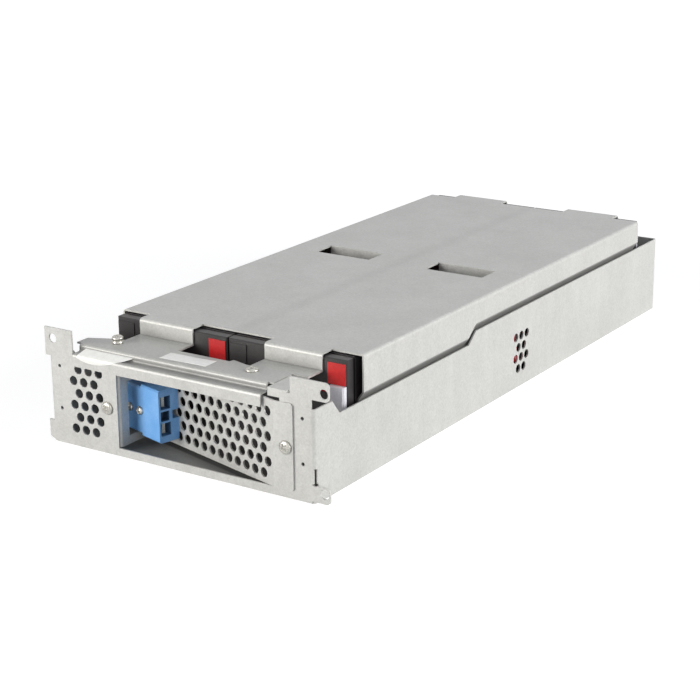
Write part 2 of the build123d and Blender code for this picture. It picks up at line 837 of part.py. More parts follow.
def fasteners():
    """The screws of the cover's shelf, of the bracket and of the connector."""
    to_front = Rot(90, 0, 0)
    shelf_places = [Pos(x, y, shelf_height) for x, y in (left_shelf_screw, right_shelf_screw)]
    front_places = [
        Pos(left_front_screw[0], 0, left_front_screw[1]) * to_front,
        Pos(right_front_screw[0], -sheet, right_front_screw[1]) * to_front,
    ]
    connector_places = []
    for along in connector_screw_places:
        connector_places.append(grille_frame * Pos(along, housing_front_y, housing_height) * to_front)
    grip = 2 * sheet + screw_tail
    long_grip = housing_thickness + sheet + screw_tail
    large = (screw_head_diameter, screw_shank_diameter, grip)
    small = (small_head_diameter, small_shank_diameter, long_grip)
    return {
        "shelf_screws": seated_screws(shelf_places, *large),
        "front_screws": seated_screws(front_places, *large),
        "connector_screws": seated_screws(connector_places, *small),
    }


def batteries():
    """Eight blocks with their seals and sleeves, in two columns of back-to-back pairs."""
    turned = Rot(0, 0, 180)
    rows = (
        ("first", first_lid_y, Pos()),
        ("second", second_lid_y, turned),
        ("third", third_lid_y, Pos()),
        ("fourth", fourth_lid_y, turned),
    )
    pieces = {}
    for column, x in (("left", left_block_x), ("right", right_block_x)):
        for row, y, turn in rows:
            place = Pos(x, y, block_floor) * turn
            name = f"{column}_{row}"
            pieces[f"battery_{name}"] = place * sealed_block()
            pieces[f"positive_seal_{name}"] = place * positive_seal()
            pieces[f"positive_sleeve_{name}"] = place * terminal_sleeve(1)
            pieces[f"negative_sleeve_{name}"] = place * terminal_sleeve(-1)
    return pieces


def cartridge():
    """Every piece of the cartridge by name, drawn from the front face."""
    negative_z, positive_z = port_heights()
    pieces = {
        "tray": tray(),
        "connector_bracket": connector_bracket(),
        "battery_cover": battery_cover(),
        "connector_housing": connector_housing(),
        "positive_contact": connector_contact(positive_z),
        "negative_contact": connector_contact(negative_z),
    }
    pieces.update(batteries())
    pieces.update(fasteners())
    pieces.update({name: lead_along(points) for name, points in lead_routes().items()})
    return pieces


def main():
    os.makedirs("parts", exist_ok=True)
    to_floor_middle = Pos(0, -tray_depth / 2, 0)
    for name, piece in cartridge().items():
        export_step(to_floor_middle * piece, f"parts/{name}.step")


main()
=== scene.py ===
import math

import bmesh
import bpy
import numpy as np
from mathutils import Matrix, Vector


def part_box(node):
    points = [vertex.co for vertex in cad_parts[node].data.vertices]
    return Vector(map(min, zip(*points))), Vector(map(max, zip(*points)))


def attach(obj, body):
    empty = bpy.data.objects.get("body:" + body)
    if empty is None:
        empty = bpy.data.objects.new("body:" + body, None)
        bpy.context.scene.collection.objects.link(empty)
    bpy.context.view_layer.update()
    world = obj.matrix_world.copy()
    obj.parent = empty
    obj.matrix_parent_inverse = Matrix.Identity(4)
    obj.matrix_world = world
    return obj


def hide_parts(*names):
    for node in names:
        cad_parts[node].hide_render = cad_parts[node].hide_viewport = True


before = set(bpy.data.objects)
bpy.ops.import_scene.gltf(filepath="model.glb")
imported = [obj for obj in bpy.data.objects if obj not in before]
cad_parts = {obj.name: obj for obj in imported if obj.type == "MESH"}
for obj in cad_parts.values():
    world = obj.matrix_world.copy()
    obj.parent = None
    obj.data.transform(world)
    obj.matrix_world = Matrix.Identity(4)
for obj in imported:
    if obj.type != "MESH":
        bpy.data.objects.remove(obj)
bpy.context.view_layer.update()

# Lengths below are millimetres behind the front face, as on a drawing of the cartridge
MM = 0.001
FRONT_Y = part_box("tray")[0].y / MM
SHEET = 1.2
SHELF_TOP = 71.0
STEP_TOP = 66.0
FOLD_RADIUS = 2.4

# Camera of the photograph, solved from the edges of the cover and the tray
CAMERA_PLACE = (692.6, -846.6, 430.2)
CAMERA_YAW = -33.39
CAMERA_PITCH = 17.77
CAMERA_ROLL = -0.55
CAMERA_LENS = 92.1

# Screws: places of the heads, and the sizes of head and shank
SHELF_SCREWS = ((-65.0, 21.0), (46.0, 21.0))
FRONT_SCREWS = ((-58.5, 0.0, 32.4), (86.7, -SHEET, 34.3))
HEAD_DIAMETER = 9.0
HEAD_HEIGHT = 2.2
TALL_HEAD_DIAMETER = 7.8
TALL_HEAD_HEIGHT = 5.4
SHANK_DIAMETER = 4.0
SHANK_LENGTH = 4.9
SMALL_HEAD_DIAMETER = 6.0
SMALL_SHANK_DIAMETER = 3.0
SMALL_SHANK_LENGTH = 19.7

# The slanted wall of the recess in plan, and the connector measured along it and out of it
GRILLE_START = (-49.6, 34.0)
GRILLE_END = (78.0, -0.6)
CONNECTOR_FACE = -16.6
CONNECTOR_SCREWS = (11.5, 0.0)
CONNECTOR_HEIGHT = 29.2
MATING_FACE = 32.5

# Leads
LEAD_DIAMETER = 3.4


def at(x, y, z):
    """A point given in millimetres behind the front face, as metres in the frame."""
    return Vector((x * MM, (y + FRONT_Y) * MM, z * MM))


def linear(hex_colour):
    """An sRGB hex colour as linear red, green, blue and alpha."""
    values = [int(hex_colour[i:i + 2], 16) / 255 for i in (1, 3, 5)]
    rgb = [v / 12.92 if v <= 0.04045 else ((v + 0.055) / 1.055) ** 2.4 for v in values]
    return (*rgb, 1.0)


def set_inputs(tree, node, inputs):
    """Links or sets each of a node's inputs, given by name or number."""
    for key, value in inputs.items():
        if isinstance(value, bpy.types.NodeSocket):
            tree.links.new(value, node.inputs[key])
        else:
            node.inputs[key].default_value = value


def add(tree, kind, inputs=None, **settings):
    """Adds a node with its settings and its inputs."""
    node = tree.nodes.new(kind)
    for name, value in settings.items():
        setattr(node, name, value)
    set_inputs(tree, node, inputs or {})
    return node


def new_material(name):
    """An empty node material: its tree and its shader, already joined to the output."""
    material = bpy.data.materials.new(name)
    material.use_nodes = True
    tree = material.node_tree
    tree.nodes.clear()
    shader = add(tree, "ShaderNodeBsdfPrincipled")
    add(tree, "ShaderNodeOutputMaterial", {"Surface": shader.outputs["BSDF"]})
    return material, tree, shader


def ramp(tree, factor, stops):
    """A colour ramp of (place, hex colour) stops over a factor socket."""
    node = add(tree, "ShaderNodeValToRGB", {"Fac": factor})
    elements = node.color_ramp.elements
    while len(elements) < len(stops):
        elements.new(0.5)
    for element, (place, colour) in zip(elements, stops):
        element.position = place
        element.color = linear(colour)
    return node.outputs["Color"]


def per_mm(size):
    """Texture scale, in cycles per metre, of a feature of this size in millimetres."""
    return 1.0 / (size * MM)


def openness(tree, size, closed, darkest):
    """How open a place on a piece is to the air round it, within a size in millimetres.

    It is 1 in the open, and falls to the darkest value where only the closed share is open. Multiplied
    into a colour, it paints shade into folds, corners and hollows.
    """
    air = add(tree, "ShaderNodeAmbientOcclusion", {"Distance": size * MM}, only_local=True, samples=8)
    return add(tree, "ShaderNodeMapRange", {
        "Value": air.outputs["AO"], "From Min": closed, "From Max": 0.85,
        "To Min": darkest, "To Max": 1.0,
    }).outputs["Result"]


def galvanised_steel(name, painted_shade=None):
    """Hot-dip galvanised sheet, skin-passed: a dull grey zinc skin, with painted shade where a function
    says so.

    The eye sees a fine mottle of zinc crystals, drawn 2.5 mm wide because the real ones are too small to
    show here, faint clouds where the zinc froze unevenly, upright streaks where it ran, a grit that
    softens every reflection, and painted shade, from occlusion, in the inner folds and corners.
    """
    crystal_size, cloud_size, grit_size = 2.5, 45.0, 1.4
    streak_width, streak_squash = 8.0, 0.15
    fold_size = 14.0
    material, tree, shader = new_material(name)
    place = add(tree, "ShaderNodeTexCoord").outputs["Object"]
    crystal = add(tree, "ShaderNodeTexVoronoi", {"Vector": place, "Scale": per_mm(crystal_size)})
    tone = add(tree, "ShaderNodeSeparateColor", {"Color": crystal.outputs["Color"]}).outputs["Red"]
    cloud = add(tree, "ShaderNodeTexNoise", {"Vector": place, "Scale": per_mm(cloud_size), "Detail": 4.0})
    grit = add(tree, "ShaderNodeTexNoise", {"Vector": place, "Scale": per_mm(grit_size), "Detail": 3.0})
    drawn_out = add(tree, "ShaderNodeMapping", {"Vector": place, "Scale": (1.0, 1.0, streak_squash)})
    streak = add(tree, "ShaderNodeTexNoise", {
        "Vector": drawn_out.outputs["Vector"], "Scale": per_mm(streak_width), "Detail": 2.0,
    })
    mix = add(tree, "ShaderNodeMath", {0: tone, 1: 0.09}, operation="MULTIPLY").outputs[0]
    for pattern, share in ((cloud, 0.27), (streak, 0.13), (grit, 0.45)):
        mix = add(tree, "ShaderNodeMath", {
            0: pattern.outputs["Fac"], 1: share, 2: mix,
        }, operation="MULTIPLY_ADD").outputs[0]
    zinc = ramp(tree, mix, ((0.3, "#b4b4b1"), (0.47, "#c1c1be"), (0.64, "#cdcdca")))
    # Painted shade: occlusion darkens the colour in folds and corners, times the factor of the shade
    # function
    unshaded = openness(tree, fold_size, 0.3, 0.35)
    if painted_shade:
        unshaded = add(tree, "ShaderNodeMath", {
            0: unshaded, 1: painted_shade(tree, place),
        }, operation="MULTIPLY").outputs[0]
    colour = add(tree, "ShaderNodeVectorMath", {0: zinc, 1: unshaded}, operation="MULTIPLY").outputs[0]
    shine = add(tree, "ShaderNodeMapRange", {"Value": tone, "To Min": 0.4, "To Max": 0.5})
    bump = add(tree, "ShaderNodeBump", {
        "Height": grit.outputs["Fac"], "Strength": 0.08, "Distance": 0.2 * MM,
    })
    set_inputs(tree, shader, {
        "Base Color": colour,
        "Metallic": 0.2,
        "Roughness": shine.outputs["Result"],
        "Normal": bump.outputs["Normal"],
    })
    return material


def cover_painted_shade(tree, place):
    """How unshaded the cover is, from 0 to 1: painted shade in the joggle under the right flange, on the
    ledge under the shelf's edge and on the shelf, and a little along the middle of the top, where it sags
    between the blocks.
    """
    step_start, step_end = 191.0, 201.0
    edge_front, edge_rear, edge_blur = 57.0, 65.0, 0.4
    flange_side, ledge_end, shelf_end = 100.0, 7.0, 40.0
    ledge_bottom, ledge_top = 65.3, 69.4
    shelf_bottom, shelf_top, shelf_fade = SHELF_TOP - SHEET - 0.2, SHELF_TOP + 0.2, SHELF_TOP + 1.0
    middle, sag_width = 9.0, 10.0
    # Painted shade amounts in the joggle, on the ledge, on the shelf and along the middle of the top
    joggle_shade, ledge_shade, shelf_shade, sag_shade = 0.55, 0.35, 0.14, 0.07
    x, y, z = add(tree, "ShaderNodeSeparateXYZ", {"Vector": place}).outputs
    flange_edge = add(tree, "ShaderNodeMapRange", {
        "Value": y, "From Min": (step_start + FRONT_Y) * MM, "From Max": (step_end + FRONT_Y) * MM,
        "To Min": edge_front * MM, "To Max": edge_rear * MM,
    }).outputs["Result"]
    below = add(tree, "ShaderNodeMath", {0: flange_edge, 1: z}, operation="SUBTRACT").outputs[0]
    joggle = add(tree, "ShaderNodeMapRange", {
        "Value": below, "From Min": -edge_blur * MM, "From Max": edge_blur * MM,
        "To Min": 0.0, "To Max": joggle_shade,
    }).outputs["Result"]
    shelf = add(tree, "ShaderNodeMapRange", {
        "Value": z, "From Min": shelf_top * MM, "From Max": shelf_fade * MM,
        "To Min": shelf_shade, "To Max": 0.0,
    }).outputs["Result"]
    aside = add(tree, "ShaderNodeMath", {0: x, 1: middle * MM}, operation="SUBTRACT").outputs[0]
    aside = add(tree, "ShaderNodeMath", {0: aside}, operation="ABSOLUTE").outputs[0]
    painted_shade = add(tree, "ShaderNodeMapRange", {
        "Value": aside, "From Max": sag_width * MM, "To Min": sag_shade, "To Max": 0.0,
    }, interpolation_type="SMOOTHSTEP").outputs["Result"]
    more, less = "GREATER_THAN", "LESS_THAN"
    for darkening, limits in (
        (joggle, ((x, more, flange_side),)),
        (ledge_shade, ((z, more, ledge_bottom), (z, less, ledge_top), (y, less, ledge_end + FRONT_Y))),
        (shelf, ((z, more, shelf_bottom), (y, less, shelf_end + FRONT_Y))),
    ):
        for socket, side, limit in limits:
            within = add(tree, "ShaderNodeMath", {0: socket, 1: limit * MM}, operation=side).outputs[0]
            darkening = add(tree, "ShaderNodeMath", {0: darkening, 1: within}, operation="MULTIPLY").outputs[0]
        painted_shade = add(tree, "ShaderNodeMath", {0: painted_shade, 1: darkening}, operation="ADD").outputs[0]
    return add(tree, "ShaderNodeMath", {0: 1.0, 1: painted_shade}, operation="SUBTRACT").outputs[0]


def tray_painted_shade(tree, place):
    """How unshaded the tray is, from 0 to 1: painted shade on top of the floor in the recess, and more
    behind it.
    """
    recess_shade, hidden_shade, shade_edge = 0.42, 0.75, 2.0
    sill, sill_fade, rear, half_width = 1.5, 4.0, 500.0, 104.0
    floor_middle, floor_above = SHEET / 2, SHEET + 0.4
    x, y, z = add(tree, "ShaderNodeSeparateXYZ", {"Vector": place}).outputs
    (start_x, start_y), (end_x, end_y) = GRILLE_START, GRILLE_END
    slope = (end_y - start_y) / (end_x - start_x)
    wall_y = start_y - slope * start_x + FRONT_Y
    behind = add(tree, "ShaderNodeMath", {0: x, 1: -slope, 2: y}, operation="MULTIPLY_ADD").outputs[0]
    # Painted shade on the recess floor, stronger behind the slanted wall
    painted_shade = add(tree, "ShaderNodeMapRange", {
        "Value": behind, "From Min": wall_y * MM, "From Max": (wall_y + shade_edge) * MM,
        "To Min": recess_shade, "To Max": hidden_shade,
    }).outputs["Result"]
    inside = add(tree, "ShaderNodeMapRange", {
        "Value": y, "From Min": (sill + FRONT_Y) * MM, "From Max": (sill_fade + FRONT_Y) * MM,
    }).outputs["Result"]
    painted_shade = add(tree, "ShaderNodeMath", {0: painted_shade, 1: inside}, operation="MULTIPLY").outputs[0]
    aside = add(tree, "ShaderNodeMath", {0: x}, operation="ABSOLUTE").outputs[0]
    more, less = "GREATER_THAN", "LESS_THAN"
    for socket, side, limit in (
        (y, less, rear + FRONT_Y), (aside, less, half_width),
        (z, more, floor_middle), (z, less, floor_above),
    ):
        within = add(tree, "ShaderNodeMath", {0: socket, 1: limit * MM}, operation=side).outputs[0]
        painted_shade = add(tree, "ShaderNodeMath", {0: painted_shade, 1: within}, operation="MULTIPLY").outputs[0]
    return add(tree, "ShaderNodeMath", {0: 1.0, 1: painted_shade}, operation="SUBTRACT").outputs[0]


def bright_plate(name, dark, light):
    """Bright plating on screws and contacts: smoother than the sheet, with a soft mirror sheen."""
    grit_size = 0.5
    material, tree, shader = new_material(name)
    place = add(tree, "ShaderNodeTexCoord").outputs["Object"]
    grit = add(tree, "ShaderNodeTexNoise", {"Vector": place, "Scale": per_mm(grit_size), "Detail": 3.0})
    colour = ramp(tree, grit.outputs["Fac"], ((0.35, dark), (0.65, light)))
    rough = add(tree, "ShaderNodeMapRange", {
        "Value": grit.outputs["Fac"], "To Min": 0.22, "To Max": 0.38,
    })
    set_inputs(tree, shader, {
        "Base Color": colour, "Metallic": 0.9, "Roughness": rough.outputs["Result"],
    })
    return material


def moulded_plastic(name, dark, light, roughness, grain_size, grain_depth, port_size=0.0):
    """Injection-moulded plastic: an even colour with a fine spark-eroded grain that breaks up the shine.

    Where it has ports of a size in millimetres, their insides get painted shade, dull and dark.
    """
    cloud_size = grain_size * 25
    material, tree, shader = new_material(name)
    place = add(tree, "ShaderNodeTexCoord").outputs["Object"]
    grain = add(tree, "ShaderNodeTexNoise", {"Vector": place, "Scale": per_mm(grain_size), "Detail": 3.0})
    cloud = add(tree, "ShaderNodeTexNoise", {"Vector": place, "Scale": per_mm(cloud_size), "Detail": 2.0})
    tone = add(tree, "ShaderNodeMath", {
        0: grain.outputs["Fac"], 1: cloud.outputs["Fac"],
    }, operation="ADD").outputs[0]
    half = add(tree, "ShaderNodeMath", {0: tone, 1: 0.5}, operation="MULTIPLY").outputs[0]
    colour = ramp(tree, half, ((0.35, dark), (0.65, light)))
    if port_size:
        # Painted shade inside the ports, from occlusion
        shade = openness(tree, port_size, 0.35, 0.12)
        colour = add(tree, "ShaderNodeVectorMath", {0: colour, 1: shade}, operation="MULTIPLY").outputs[0]
    rough = add(tree, "ShaderNodeMapRange", {
        "Value": grain.outputs["Fac"], "To Min": roughness - 0.06, "To Max": roughness + 0.06,
    })
    bump = add(tree, "ShaderNodeBump", {
        "Height": grain.outputs["Fac"], "Strength": 0.25, "Distance": grain_depth * MM,
    })
    set_inputs(tree, shader, {
        "Base Color": colour,
        "Roughness": rough.outputs["Result"],
        "Normal": bump.outputs["Normal"],
    })
    return material


def vinyl_label():
    """Blank white vinyl label: smooth film with a faint orange-peel and a weak gloss."""
    peel_size = 3.0
    material, tree, shader = new_material("white_vinyl_label")
    place = add(tree, "ShaderNodeTexCoord").outputs["Object"]
    peel = add(tree, "ShaderNodeTexNoise", {"Vector": place, "Scale": per_mm(peel_size), "Detail": 2.0})
    colour = ramp(tree, peel.outputs["Fac"], ((0.3, "#eeeeea"), (0.7, "#f8f8f5")))
    bump = add(tree, "ShaderNodeBump", {
        "Height": peel.outputs["Fac"], "Strength": 0.1, "Distance": 0.1 * MM,
    })
    set_inputs(tree, shader, {
        "Base Color": colour, "Roughness": 0.3, "Coat Weight": 0.5, "Normal": bump.outputs["Normal"],
    })
    return material


def paint_nodes(material, names):
    """Gives CAD nodes a material."""
    for name in names:
        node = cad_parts[name]
        for material_slot in node.material_slots:
            material_slot.material = material


def grid_faces(rows, columns, closed):
    """Quads of a grid of points in row order; a closed grid joins its last column to its first."""
    last = columns if closed else columns - 1
    row, column = np.meshgrid(np.arange(rows - 1), np.arange(last), indexing="ij")
    after = (column + 1) % columns
    near, far = row * columns, (row + 1) * columns
    return np.stack([near + column, near + after, far + after, far + column], axis=-1).reshape(-1, 4)


def make_piece(name, points, faces, material, slot, replaced=()):
    """A mesh piece from points in millimetres behind the front face, riding on the cartridge."""
    mesh = bpy.data.meshes.new(name)
    place = (np.asarray(points, float) + (0, FRONT_Y, 0)) * MM
    mesh.from_pydata(place.tolist(), [], np.asarray(faces).tolist())
    mesh.polygons.foreach_set("use_smooth", np.ones(len(mesh.polygons), bool))
    mesh.materials.append(material)
    mesh.update()
    piece = bpy.data.objects.new(name, mesh)
    bpy.context.collection.objects.link(piece)
    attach(piece, "root")
    if replaced:
        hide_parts(*replaced)
    return piece


def cross_mask(x, y, half_length, half_width):
    """1 inside a cross of two arms and 0 outside, with a soft edge a tenth of a millimetre wide."""
    edge = 0.1
    inside = []
    for long_way, short_way in ((x, y), (y, x)):
        along = np.clip((half_length - np.abs(long_way)) / edge, 0, 1)
        across = np.clip((half_width - np.abs(short_way)) / edge, 0, 1)
        inside.append(along * across)
    return np.maximum(inside[0], inside[1])


def screw_surface(head_diameter, head_height, shank_diameter, shank_length):
    """A pan head and shank turned about Z, seated at Z = 0.

    The crown's height falls with the fourth power of the radius, and a cross is pressed into it. The
    profile then goes down the rim, which is grooved half way if the head is tall, in under the head and
    down the shank to its end.
    """
    turns = 96
    radius = head_diameter / 2
    shank = shank_diameter / 2
    crown = min(head_height * 0.55, 1.3)
    rim = head_height - crown
    groove = 0.6 if rim > 2 else 0.0
    crown_r = np.linspace(0.01, 1.0, 36) * radius
    crown_z = rim + crown * (1 - (crown_r / radius) ** 4)
    neck = radius - groove
    rest_r = np.array([radius, neck, neck, radius, radius, radius * 0.98, shank, shank, 0.01])
    rest_z = np.concatenate([
        np.array([0.6, 0.57, 0.45, 0.42, 0.1]) * rim, [0, 0, -shank_length, -shank_length],
    ])
    r = np.concatenate([crown_r, rest_r])[:, None]
    z = np.concatenate([crown_z, rest_z])[:, None]
    angle = np.arange(turns) * (2 * math.pi / turns)
    x = r * np.cos(angle)
    y = r * np.sin(angle)
    pressed = cross_mask(x, y, radius * 0.62, radius * 0.19) * (z > rim)
    height = z - pressed * crown * 0.9
    points = np.stack([x, y, height], axis=-1).reshape(-1, 3)
    faces = grid_faces(len(r), turns, closed=True)[:, ::-1]
    return points, faces


def placed(points, turn, place):
    """Points turned by a 3 by 3 matrix and moved to a place."""
    return points @ np.array(turn).T + np.array(place)


def joined(surfaces):
    """Several surfaces as one list of points and faces."""
    points, faces, start = [], [], 0
    for surface_points, surface_faces in surfaces:
        points.append(surface_points)
        faces.append(surface_faces + start)
        start += len(surface_points)
    return np.concatenate(points), np.concatenate(faces)


def facing(direction):
    """Rotation that carries Z to a level direction, keeping one axis upright."""
    out = np.array([*direction, 0.0]) / np.hypot(*direction)
    up = np.array([0.0, 0.0, 1.0])
    return np.stack([np.cross(up, out), up, out], axis=1)


def grille_directions():
    """Unit directions in plan: along the slanted wall towards the front, and out of its front face."""
    along = np.array(GRILLE_END) - np.array(GRILLE_START)
    along = along / np.hypot(*along)
    return along, np.array([along[1], -along[0]])


def make_screws(material):
    """The three groups of screws, with domed heads and cross recesses, over their plain solids."""
    twist = 0.6
    cos, sin = math.cos(twist), math.sin(twist)
    turned = np.array([[cos, -sin, 0], [sin, cos, 0], [0, 0, 1]])
    tall = screw_surface(TALL_HEAD_DIAMETER, TALL_HEAD_HEIGHT, SHANK_DIAMETER, SHANK_LENGTH)
    low = screw_surface(HEAD_DIAMETER, HEAD_HEIGHT, SHANK_DIAMETER, SHANK_LENGTH)
    small = screw_surface(SMALL_HEAD_DIAMETER, HEAD_HEIGHT, SMALL_SHANK_DIAMETER, SMALL_SHANK_LENGTH)
    shelf = []
    for (x, y), (points, faces) in zip(SHELF_SCREWS, (tall, low)):
        shelf.append((placed(points, turned, (x, y, SHELF_TOP)), faces))
    make_piece("shelf_screw_heads", *joined(shelf), material, "plated_screw", ["shelf_screws"])
    front = [(placed(low[0], facing((0, -1)) @ turned, place), low[1]) for place in FRONT_SCREWS]
    make_piece("front_screw_heads", *joined(front), material, "plated_screw", ["front_screws"])
    along, outward = grille_directions()
    connector = []
    for distance in CONNECTOR_SCREWS:
        plan = np.array(GRILLE_START) + along * distance - outward * CONNECTOR_FACE
        connector.append((placed(small[0], facing(outward), (*plan, CONNECTOR_HEIGHT)), small[1]))
    make_piece(
        "connector_screw_heads", *joined(connector), material, "plated_screw", ["connector_screws"],
    )


def box_corners(along_range, out_range, z_range):
    """Corners and faces of a box that stands square to the slanted wall."""
    along, outward = grille_directions()
    a, d, z = (grid.ravel() for grid in np.meshgrid(along_range, out_range, z_range, indexing="ij"))
    plan = np.array(GRILLE_START) + a[:, None] * along + d[:, None] * outward
    faces = np.array([[0, 2, 3, 1], [4, 5, 7, 6], [0, 1, 5, 4], [2, 6, 7, 3], [0, 4, 6, 2], [1, 3, 7, 5]])
    return np.column_stack([plan, z]), faces


def make_housing(material):
    """The connector's housing: a copy of its solid, cut away between and behind the poles.

    Each cut is a box that stands square to the slanted wall, and the edges are then rounded.
    """
    half_gap, half_slot = 3.4, 3.0
    gap = (CONNECTOR_HEIGHT - half_gap, CONNECTOR_HEIGHT + half_gap)
    slot = (CONNECTOR_HEIGHT - half_slot, CONNECTOR_HEIGHT + half_slot)
    between = box_corners((MATING_FACE - 7, MATING_FACE + 1), (8.2, 15.0), gap)
    behind = box_corners((MATING_FACE - 12, MATING_FACE + 1), (-1, 5.6), slot)
    cutter = make_piece("housing_cuts", *joined([between, behind]), material, "blue_housing")
    piece = bpy.data.objects.new("housing_form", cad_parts["connector_housing"].data.copy())
    bpy.context.collection.objects.link(piece)
    for mesh in (cutter.data, piece.data):
        form = bmesh.new()
        form.from_mesh(mesh)
        bmesh.ops.remove_doubles(form, verts=form.verts, dist=0.001 * MM)
        bmesh.ops.recalc_face_normals(form, faces=form.faces)
        form.to_mesh(mesh)
        form.free()
    cuts = piece.modifiers.new("cuts", "BOOLEAN")
    cuts.object = cutter
    rounding = piece.modifiers.new("rounding", "BEVEL")
    rounding.width = 0.45 * MM
    rounding.segments = 2
    rounding.limit_method = "ANGLE"
    rounding.angle_limit = math.radians(50)
    shaped = bpy.data.meshes.new_from_object(piece.evaluated_get(bpy.context.evaluated_depsgraph_get()))
    for spare in (piece, cutter):
        bpy.data.objects.remove(spare)
    shaped.materials.clear()
    shaped.materials.append(material)
    housing = bpy.data.objects.new("housing_shell", shaped)
    bpy.context.collection.objects.link(housing)
    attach(housing, "root")
    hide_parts("connector_housing")


def make_shelf_label(material):
    """A blank label on the shelf: a flat sheet over length and width, one corner lifted by a hair."""
    length, width, slant = 37.0, 12.5, 1.2
    left, front = -21.0, 10.2
    u, v = np.meshgrid(np.linspace(0, 1, 40), np.linspace(0, 1, 14), indexing="ij")
    lift = 0.12 + 0.25 * (u * v) ** 8
    x, y = left + u * length, front + v * width + u * slant
    points = np.stack([x, y, SHELF_TOP + lift], axis=-1)
    faces = grid_faces(40, 14, False)
    piece = make_piece("shelf_label", points.reshape(-1, 3), faces, material, "galvanised_sheet")
    add_thickness(piece, 0.1)


def make_strip_label(material):
    """A blank label that bridges the ledge under the shelf's edge and folds over the lip.

    Across, it runs straight from the step's face to the lip's fold, round the fold, then down the lip's
    face. Along, its rear edge is straight, and the distance to its lower edge swells to a belly near the
    left end and runs out to a point at the right.
    """
    left, right, slant = -82.7, -39.0, 2.7
    belly, depth, left_depth = 0.3, 11.8, 9.3
    start_y, start_z = 6.05, 68.6
    fold_y, fold_z = FOLD_RADIUS - SHEET, STEP_TOP - FOLD_RADIUS
    radius = FOLD_RADIUS + 0.12
    reach = math.hypot(start_y - fold_y, start_z - fold_z)
    lift = math.atan2(start_z - fold_z, start_y - fold_y) + math.acos(radius / reach) - math.pi / 2
    bridge = math.sqrt(reach ** 2 - radius ** 2)
    u, v = np.meshgrid(np.linspace(0, 1, 80), np.linspace(0, 1, 40), indexing="ij")
    rising = left_depth + (depth - left_depth) * (1 - (np.clip(belly - u, 0, 1) / belly) ** 2)
    falling = np.clip(1 - (np.clip(u - belly, 0, 1) / (1 - belly)) ** 2, 0, 1) ** 0.8
    run = v * rising * falling
    flat = np.clip(run, 0, bridge)
    turn = np.clip(lift + (run - bridge) / radius, lift, math.pi / 2)
    drop = np.clip(run - bridge - radius * (math.pi / 2 - lift), 0, None)
    x = left + (right - left) * u + slant * (1 - v) * (1 - u)
    y = fold_y - radius * np.sin(turn) + (bridge - flat) * math.cos(lift)
    z = fold_z + radius * np.cos(turn) + (bridge - flat) * math.sin(lift) - drop
    points = np.stack([x, y, z], axis=-1).reshape(-1, 3)
    piece = make_piece("strip_label", points, grid_faces(80, 40, False), material, "galvanised_sheet")
    add_thickness(piece, 0.1)


def add_thickness(piece, thickness):
    """Gives a label the thickness of its film, in millimetres."""
    solidify = piece.modifiers.new("film", "SOLIDIFY")
    solidify.thickness = thickness * MM
    solidify.offset = 0


def lead_routes():
    """Points of each lead, chosen in the free spaces round the blocks."""
    front, second, third, rear = 44.1, 250.3, 276.1, 482.3
    level, low = 54.0, 20.0
    duct, wall = -96.0, 104.0
    left_end, inner_left, inner_right, right = -85.15, 6.75, 9.45, 95.6
    middle = (inner_left + inner_right) / 2
    routes = {}
    for name, y in (("front", front), ("second", second), ("third", third), ("rear", rear)):
        routes["jumper_" + name] = [
            (inner_left, y, level), (middle, y, level + 0.1), (inner_right, y, level),
        ]
    for name, start, end in (("front", front, second), ("rear", third, rear)):
        routes["jumper_duct_" + name] = [
            (left_end, start, level), (duct, start, level), (duct, start + 20, level - 1),
            (duct, end - 20, level - 1), (duct, end, level), (left_end, end, level),
        ]
    routes["jumper_middle"] = [
        (right, second, 44.7), (wall, second + 5.7, low), (wall, third - 5.7, low), (right, third, 44.7),
    ]
    routes["positive_lead"] = [
        (-64.1, 26.3, 38.4), (-84.0, 31.7, 38.4), (-84.0, 31.7, 59.1), (-49.0, 38.5, 59.1),
        (29.45, 38.5, 59.1), (77.85, 44.1, 59.1), (89.85, 44.1, 59.1),
    ]
    routes["negative_lead"] = [
        (right, rear, 45.5), (right, rear, low), (70.0, rear, low), (-76.0, rear, low), (duct, rear, low),
        (duct, 461.0, low), (duct, 55.0, low), (duct, 35.0, low), (-64.1, 26.3, low),
    ]
    return routes


def make_lead(name, points, material):
    """A round lead on a smooth spline that its route's points guide, in place of the plain solid."""
    curve = bpy.data.curves.new(name + "_jacket", "CURVE")
    curve.dimensions = "3D"
    curve.bevel_depth = LEAD_DIAMETER / 2 * MM
    curve.bevel_resolution = 6
    curve.resolution_u = 16
    curve.use_fill_caps = True
    spline = curve.splines.new("NURBS")
    spline.points.add(len(points) - 1)
    for control, point in zip(spline.points, points):
        control.co = (*at(*point), 1.0)
    spline.order_u = 3
    spline.use_endpoint_u = True
    curve.materials.append(material)
    piece = bpy.data.objects.new(name + "_jacket", curve)
    bpy.context.collection.objects.link(piece)
    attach(piece, "root")
    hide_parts(name)


def make_leads():
    """Red leads on the positive side and at the middle bay, black leads elsewhere."""
    red = moulded_plastic("red_pvc_jacket", "#a3161b", "#c9252a", 0.42, 0.9, 0.03)
    black = moulded_plastic("black_pvc_jacket", "#1a191a", "#2a292a", 0.45, 0.9, 0.03)
    for name, points in lead_routes().items():
        is_red = name in ("positive_lead", "jumper_middle")
        make_lead(name, points, red if is_red else black)


